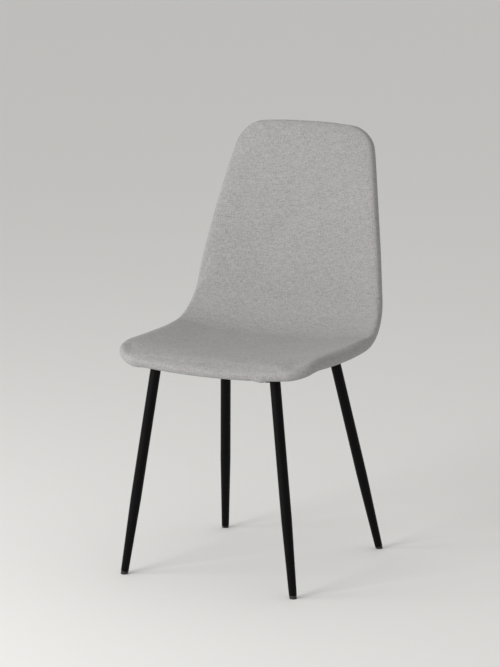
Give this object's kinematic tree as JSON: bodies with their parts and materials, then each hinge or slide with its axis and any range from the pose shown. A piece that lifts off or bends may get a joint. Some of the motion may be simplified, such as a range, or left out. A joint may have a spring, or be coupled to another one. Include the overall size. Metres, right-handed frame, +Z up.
{
  "type": "dining chair",
  "caption": "Dining chair: a thin one-piece upholstered seat and back shell in grey woven fabric on splayed, tapered black steel tube legs.",
  "frame": {"origin": "on the floor, at the middle of the chair's box seen from above", "axes": "+Z up; the chair faces -Y; +X is the sitter's left"},
  "size_m": [0.4458, 0.4561, 0.8705],
  "materials": {
    "woven_fabric": "light grey melange plain weave, matte",
    "dust_fabric": "black non-woven, matte",
    "foam": "open-cell polyurethane foam, cream",
    "plywood": "moulded beech plywood, unfinished",
    "black_steel": "satin black powder coat",
    "black_plastic": "moulded black polyethylene",
    "zinc_steel": "bright zinc plate"
  },
  "bodies": {
    "root": {"seat_shell": "plywood", "front_foam": "foam", "rear_foam": "foam", "front_cover": "woven_fabric", "rear_cover": "woven_fabric", "seam_piping": "woven_fabric", "dust_cover": "dust_fabric", "dust_cover_staples": "zinc_steel", "front_rail": "black_steel", "rear_rail": "black_steel", "left_rail": "black_steel", "right_rail": "black_steel", "front_left_mount_plate": "black_steel", "front_right_mount_plate": "black_steel", "rear_left_mount_plate": "black_steel", "rear_right_mount_plate": "black_steel", "mount_nuts": "zinc_steel", "leg_plugs": "zinc_steel", "front_left_leg": "black_steel", "front_right_leg": "black_steel", "rear_left_leg": "black_steel", "rear_right_leg": "black_steel", "front_left_glide": "black_plastic", "front_right_glide": "black_plastic", "rear_left_glide": "black_plastic", "rear_right_glide": "black_plastic", "frame_spacers": "black_plastic", "frame_bolts": "zinc_steel", "frame_washers": "zinc_steel", "tee_nuts": "zinc_steel"}
  },
  "joints": []
}
